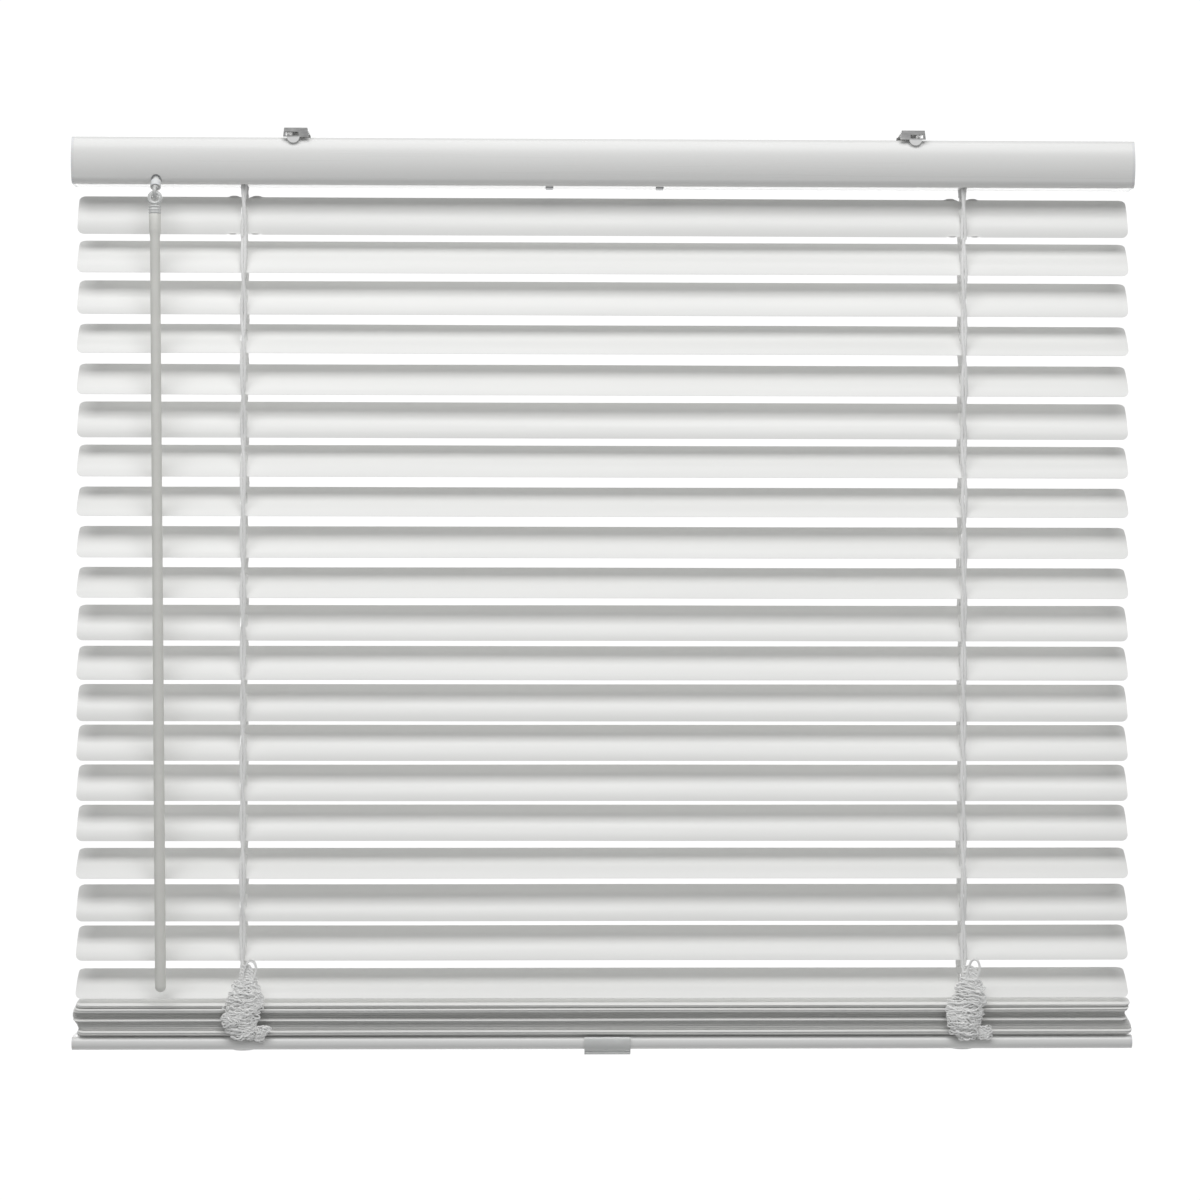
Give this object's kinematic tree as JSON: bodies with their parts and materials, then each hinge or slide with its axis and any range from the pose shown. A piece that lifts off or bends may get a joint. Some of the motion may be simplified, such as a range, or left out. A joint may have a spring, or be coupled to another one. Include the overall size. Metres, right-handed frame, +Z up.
{
  "type": "venetian blind",
  "caption": "Cordless venetian blind with arched white slats on cord ladders, partly raised so that spare slats rest on the bottom rail, with a tilt wand and a clear pull handle.",
  "frame": {"origin": "on the ceiling plane, halfway between the two ceiling screws", "axes": "+X along the slats, to the right as seen from the room; +Y from the room towards the window; +Z up"},
  "size_m": [0.6, 0.04, 0.5217],
  "materials": {
    "white_steel": "gloss enamel",
    "slat_enamel": "satin white enamel on thin aluminium",
    "white_plastic": "smooth moulded",
    "grey_plastic": "moulded",
    "clear_plastic": "clear moulded",
    "wand_plastic": "translucent grey",
    "zinc_steel": "zinc plated",
    "rod_steel": "drawn",
    "spring_steel": "rolled strip",
    "cord": "braided polyester"
  },
  "bodies": {
    "headrail": {"headrail": "white_steel", "headrail_end_caps": "white_plastic", "ceiling_brackets": "zinc_steel", "tilter_housing": "grey_plastic", "ladder_cradles": "grey_plastic", "spring_motor_case": "grey_plastic", "lift_spring": "spring_steel", "lift_cords": "cord"},
    "worm": {"tilt_worm": "clear_plastic"},
    "tilt_shaft": {"tilt_rod": "rod_steel", "tilt_gear": "white_plastic", "ladder_drums": "white_plastic"},
    "hook": {"wand_hook": "clear_plastic"},
    "wand": {"tilt_wand": "wand_plastic"},
    "spool": {"lift_spool": "white_plastic"},
    "bottom_rail": {"bottom_rail": "white_steel", "bottom_rail_caps": "white_plastic", "pull_handle": "clear_plastic", "stacked_slats": "slat_enamel", "cord_bunches": "cord"},
    "front_ladders": {"front_ladder_cords": "cord"},
    "back_ladders": {"back_ladder_cords": "cord"},
    "slat_01": {"slat_01": "slat_enamel"},
    "slat_02": {"slat_02": "slat_enamel"},
    "slat_03": {"slat_03": "slat_enamel"},
    "slat_04": {"slat_04": "slat_enamel"},
    "slat_05": {"slat_05": "slat_enamel"},
    "slat_06": {"slat_06": "slat_enamel"},
    "slat_07": {"slat_07": "slat_enamel"},
    "slat_08": {"slat_08": "slat_enamel"},
    "slat_09": {"slat_09": "slat_enamel"},
    "slat_10": {"slat_10": "slat_enamel"},
    "slat_11": {"slat_11": "slat_enamel"},
    "slat_12": {"slat_12": "slat_enamel"},
    "slat_13": {"slat_13": "slat_enamel"},
    "slat_14": {"slat_14": "slat_enamel"},
    "slat_15": {"slat_15": "slat_enamel"},
    "slat_16": {"slat_16": "slat_enamel"},
    "slat_17": {"slat_17": "slat_enamel"},
    "slat_18": {"slat_18": "slat_enamel"},
    "slat_19": {"slat_19": "slat_enamel"},
    "slat_20": {"slat_20": "slat_enamel"},
    "level_02": {"ladder_rungs_02": "cord"},
    "level_03": {"ladder_rungs_03": "cord"},
    "level_04": {"ladder_rungs_04": "cord"},
    "level_05": {"ladder_rungs_05": "cord"},
    "level_06": {"ladder_rungs_06": "cord"},
    "level_07": {"ladder_rungs_07": "cord"},
    "level_08": {"ladder_rungs_08": "cord"},
    "level_09": {"ladder_rungs_09": "cord"},
    "level_10": {"ladder_rungs_10": "cord"},
    "level_11": {"ladder_rungs_11": "cord"},
    "level_12": {"ladder_rungs_12": "cord"},
    "level_13": {"ladder_rungs_13": "cord"},
    "level_14": {"ladder_rungs_14": "cord"},
    "level_15": {"ladder_rungs_15": "cord"},
    "level_16": {"ladder_rungs_16": "cord"},
    "level_17": {"ladder_rungs_17": "cord"},
    "level_18": {"ladder_rungs_18": "cord"},
    "level_19": {"ladder_rungs_19": "cord"}
  },
  "joints": [
    {"name": "lift", "type": "slide", "parent": "headrail", "child": "bottom_rail", "axis": [0, 0, 1], "range_m": [0, 0.345], "deforming": ["lift_cords", "front_ladder_cords", "back_ladder_cords"]},
    {"name": "wand_twist", "type": "hinge", "parent": "headrail", "child": "hook", "pos_m": [-0.2525, -0.0165, -0.047], "axis": [-0.0087, 0, 1], "range_deg": [-1260, 180]},
    {"name": "wand_swing", "type": "hinge", "parent": "hook", "child": "wand", "pos_m": [-0.2525, -0.0165, -0.047], "axis": [0, 1, 0], "range_deg": [-12, 12]},
    {"name": "worm_spin", "type": "hinge", "parent": "headrail", "child": "worm", "pos_m": [-0.2525, -0.0165, -0.0385], "axis": [0, 0.5736, 0.8192], "range_deg": [-1260.5, 180.5]},
    {"name": "shaft_turn", "type": "hinge", "parent": "headrail", "child": "tilt_shaft", "pos_m": [-0.2525, 0.003, -0.0235], "axis": [1, 0, 0], "range_deg": [-105.5, 15.5]},
    {"name": "spool_spin", "type": "hinge", "parent": "headrail", "child": "spool", "pos_m": [0, 0, -0.016], "axis": [0, 0, 1], "range_deg": [0, 2866.5]},
    {"name": "tilt_01", "type": "hinge", "parent": "headrail", "child": "slat_01", "pos_m": [0, 0, -0.0504], "axis": [1, 0, 0], "range_deg": [-105.5, 15.5]},
    {"name": "rise_02", "type": "slide", "parent": "bottom_rail", "child": "level_02", "axis": [0, 0, 1], "range_m": [-0.32734, 0]},
    {"name": "tilt_02", "type": "hinge", "parent": "level_02", "child": "slat_02", "pos_m": [0, 0, -0.073], "axis": [1, 0, 0], "range_deg": [-105.5, 15.5], "deforming": ["ladder_rungs_02"]},
    {"name": "rise_03", "type": "slide", "parent": "bottom_rail", "child": "level_03", "axis": [0, 0, 1], "range_m": [-0.30918, 0]},
    {"name": "tilt_03", "type": "hinge", "parent": "level_03", "child": "slat_03", "pos_m": [0, 0, -0.0956], "axis": [1, 0, 0], "range_deg": [-105.5, 15.5], "deforming": ["ladder_rungs_03"]},
    {"name": "rise_04", "type": "slide", "parent": "bottom_rail", "child": "level_04", "axis": [0, 0, 1], "range_m": [-0.29103, 0]},
    {"name": "tilt_04", "type": "hinge", "parent": "level_04", "child": "slat_04", "pos_m": [0, 0, -0.1182], "axis": [1, 0, 0], "range_deg": [-105.5, 15.5], "deforming": ["ladder_rungs_04"]},
    {"name": "rise_05", "type": "slide", "parent": "bottom_rail", "child": "level_05", "axis": [0, 0, 1], "range_m": [-0.27287, 0]},
    {"name": "tilt_05", "type": "hinge", "parent": "level_05", "child": "slat_05", "pos_m": [0, 0, -0.1408], "axis": [1, 0, 0], "range_deg": [-105.5, 15.5], "deforming": ["ladder_rungs_05"]},
    {"name": "rise_06", "type": "slide", "parent": "bottom_rail", "child": "level_06", "axis": [0, 0, 1], "range_m": [-0.25471, 0]},
    {"name": "tilt_06", "type": "hinge", "parent": "level_06", "child": "slat_06", "pos_m": [0, 0, -0.1634], "axis": [1, 0, 0], "range_deg": [-105.5, 15.5], "deforming": ["ladder_rungs_06"]},
    {"name": "rise_07", "type": "slide", "parent": "bottom_rail", "child": "level_07", "axis": [0, 0, 1], "range_m": [-0.23655, 0]},
    {"name": "tilt_07", "type": "hinge", "parent": "level_07", "child": "slat_07", "pos_m": [0, 0, -0.186], "axis": [1, 0, 0], "range_deg": [-105.5, 15.5], "deforming": ["ladder_rungs_07"]},
    {"name": "rise_08", "type": "slide", "parent": "bottom_rail", "child": "level_08", "axis": [0, 0, 1], "range_m": [-0.21839, 0]},
    {"name": "tilt_08", "type": "hinge", "parent": "level_08", "child": "slat_08", "pos_m": [0, 0, -0.2086], "axis": [1, 0, 0], "range_deg": [-105.5, 15.5], "deforming": ["ladder_rungs_08"]},
    {"name": "rise_09", "type": "slide", "parent": "bottom_rail", "child": "level_09", "axis": [0, 0, 1], "range_m": [-0.20024, 0]},
    {"name": "tilt_09", "type": "hinge", "parent": "level_09", "child": "slat_09", "pos_m": [0, 0, -0.2312], "axis": [1, 0, 0], "range_deg": [-105.5, 15.5], "deforming": ["ladder_rungs_09"]},
    {"name": "rise_10", "type": "slide", "parent": "bottom_rail", "child": "level_10", "axis": [0, 0, 1], "range_m": [-0.18208, 0]},
    {"name": "tilt_10", "type": "hinge", "parent": "level_10", "child": "slat_10", "pos_m": [0, 0, -0.2538], "axis": [1, 0, 0], "range_deg": [-105.5, 15.5], "deforming": ["ladder_rungs_10"]},
    {"name": "rise_11", "type": "slide", "parent": "headrail", "child": "level_11", "axis": [0, 0, 1], "range_m": [0, 0.18208]},
    {"name": "tilt_11", "type": "hinge", "parent": "level_11", "child": "slat_11", "pos_m": [0, 0, -0.2764], "axis": [1, 0, 0], "range_deg": [-105.5, 15.5], "deforming": ["ladder_rungs_11"]},
    {"name": "rise_12", "type": "slide", "parent": "headrail", "child": "level_12", "axis": [0, 0, 1], "range_m": [0, 0.20024]},
    {"name": "tilt_12", "type": "hinge", "parent": "level_12", "child": "slat_12", "pos_m": [0, 0, -0.299], "axis": [1, 0, 0], "range_deg": [-105.5, 15.5], "deforming": ["ladder_rungs_12"]},
    {"name": "rise_13", "type": "slide", "parent": "headrail", "child": "level_13", "axis": [0, 0, 1], "range_m": [0, 0.21839]},
    {"name": "tilt_13", "type": "hinge", "parent": "level_13", "child": "slat_13", "pos_m": [0, 0, -0.3216], "axis": [1, 0, 0], "range_deg": [-105.5, 15.5], "deforming": ["ladder_rungs_13"]},
    {"name": "rise_14", "type": "slide", "parent": "headrail", "child": "level_14", "axis": [0, 0, 1], "range_m": [0, 0.23655]},
    {"name": "tilt_14", "type": "hinge", "parent": "level_14", "child": "slat_14", "pos_m": [0, 0, -0.3442], "axis": [1, 0, 0], "range_deg": [-105.5, 15.5], "deforming": ["ladder_rungs_14"]},
    {"name": "rise_15", "type": "slide", "parent": "headrail", "child": "level_15", "axis": [0, 0, 1], "range_m": [0, 0.25471]},
    {"name": "tilt_15", "type": "hinge", "parent": "level_15", "child": "slat_15", "pos_m": [0, 0, -0.3668], "axis": [1, 0, 0], "range_deg": [-105.5, 15.5], "deforming": ["ladder_rungs_15"]},
    {"name": "rise_16", "type": "slide", "parent": "headrail", "child": "level_16", "axis": [0, 0, 1], "range_m": [0, 0.27287]},
    {"name": "tilt_16", "type": "hinge", "parent": "level_16", "child": "slat_16", "pos_m": [0, 0, -0.3894], "axis": [1, 0, 0], "range_deg": [-105.5, 15.5], "deforming": ["ladder_rungs_16"]},
    {"name": "rise_17", "type": "slide", "parent": "headrail", "child": "level_17", "axis": [0, 0, 1], "range_m": [0, 0.29103]},
    {"name": "tilt_17", "type": "hinge", "parent": "level_17", "child": "slat_17", "pos_m": [0, 0, -0.412], "axis": [1, 0, 0], "range_deg": [-105.5, 15.5], "deforming": ["ladder_rungs_17"]},
    {"name": "rise_18", "type": "slide", "parent": "headrail", "child": "level_18", "axis": [0, 0, 1], "range_m": [0, 0.30918]},
    {"name": "tilt_18", "type": "hinge", "parent": "level_18", "child": "slat_18", "pos_m": [0, 0, -0.4346], "axis": [1, 0, 0], "range_deg": [-105.5, 15.5], "deforming": ["ladder_rungs_18"]},
    {"name": "rise_19", "type": "slide", "parent": "headrail", "child": "level_19", "axis": [0, 0, 1], "range_m": [0, 0.32734]},
    {"name": "tilt_19", "type": "hinge", "parent": "level_19", "child": "slat_19", "pos_m": [0, 0, -0.4572], "axis": [1, 0, 0], "range_deg": [-105.5, 15.5], "deforming": ["ladder_rungs_19"]},
    {"name": "tilt_20", "type": "hinge", "parent": "bottom_rail", "child": "slat_20", "pos_m": [0, 0, -0.4798], "axis": [1, 0, 0], "range_deg": [-105.5, 15.5]},
    {"name": "front_ladders_shift", "type": "hinge", "parent": "slat_01", "child": "front_ladders", "pos_m": [0, -0.00689, -0.06094], "axis": [1, 0, 0], "range_deg": [-15.5, 105.5]},
    {"name": "back_ladders_shift", "type": "hinge", "parent": "slat_01", "child": "back_ladders", "pos_m": [0, 0.00918, -0.04178], "axis": [1, 0, 0], "range_deg": [-15.5, 105.5]}
  ],
  "couplings": [
    {"joint": "worm_spin", "follows": "wand_twist", "ratio": 1},
    {"joint": "shaft_turn", "follows": "wand_twist", "ratio": 0.083333},
    {"joint": "spool_spin", "follows": "lift", "rad_per_m": 144.93},
    {"joint": "tilt_01", "follows": "wand_twist", "ratio": 0.083333},
    {"joint": "rise_02", "follows": "lift", "ratio": -0.94737},
    {"joint": "tilt_02", "follows": "wand_twist", "ratio": 0.083333},
    {"joint": "rise_03", "follows": "lift", "ratio": -0.89474},
    {"joint": "tilt_03", "follows": "wand_twist", "ratio": 0.083333},
    {"joint": "rise_04", "follows": "lift", "ratio": -0.84211},
    {"joint": "tilt_04", "follows": "wand_twist", "ratio": 0.083333},
    {"joint": "rise_05", "follows": "lift", "ratio": -0.78947},
    {"joint": "tilt_05", "follows": "wand_twist", "ratio": 0.083333},
    {"joint": "rise_06", "follows": "lift", "ratio": -0.73684},
    {"joint": "tilt_06", "follows": "wand_twist", "ratio": 0.083333},
    {"joint": "rise_07", "follows": "lift", "ratio": -0.68421},
    {"joint": "tilt_07", "follows": "wand_twist", "ratio": 0.083333},
    {"joint": "rise_08", "follows": "lift", "ratio": -0.63158},
    {"joint": "tilt_08", "follows": "wand_twist", "ratio": 0.083333},
    {"joint": "rise_09", "follows": "lift", "ratio": -0.57895},
    {"joint": "tilt_09", "follows": "wand_twist", "ratio": 0.083333},
    {"joint": "rise_10", "follows": "lift", "ratio": -0.52632},
    {"joint": "tilt_10", "follows": "wand_twist", "ratio": 0.083333},
    {"joint": "rise_11", "follows": "lift", "ratio": 0.52632},
    {"joint": "tilt_11", "follows": "wand_twist", "ratio": 0.083333},
    {"joint": "rise_12", "follows": "lift", "ratio": 0.57895},
    {"joint": "tilt_12", "follows": "wand_twist", "ratio": 0.083333},
    {"joint": "rise_13", "follows": "lift", "ratio": 0.63158},
    {"joint": "tilt_13", "follows": "wand_twist", "ratio": 0.083333},
    {"joint": "rise_14", "follows": "lift", "ratio": 0.68421},
    {"joint": "tilt_14", "follows": "wand_twist", "ratio": 0.083333},
    {"joint": "rise_15", "follows": "lift", "ratio": 0.73684},
    {"joint": "tilt_15", "follows": "wand_twist", "ratio": 0.083333},
    {"joint": "rise_16", "follows": "lift", "ratio": 0.78947},
    {"joint": "tilt_16", "follows": "wand_twist", "ratio": 0.083333},
    {"joint": "rise_17", "follows": "lift", "ratio": 0.84211},
    {"joint": "tilt_17", "follows": "wand_twist", "ratio": 0.083333},
    {"joint": "rise_18", "follows": "lift", "ratio": 0.89474},
    {"joint": "tilt_18", "follows": "wand_twist", "ratio": 0.083333},
    {"joint": "rise_19", "follows": "lift", "ratio": 0.94737},
    {"joint": "tilt_19", "follows": "wand_twist", "ratio": 0.083333},
    {"joint": "tilt_20", "follows": "wand_twist", "ratio": 0.083333},
    {"joint": "front_ladders_shift", "follows": "wand_twist", "ratio": -0.083333},
    {"joint": "back_ladders_shift", "follows": "wand_twist", "ratio": -0.083333}
  ]
}
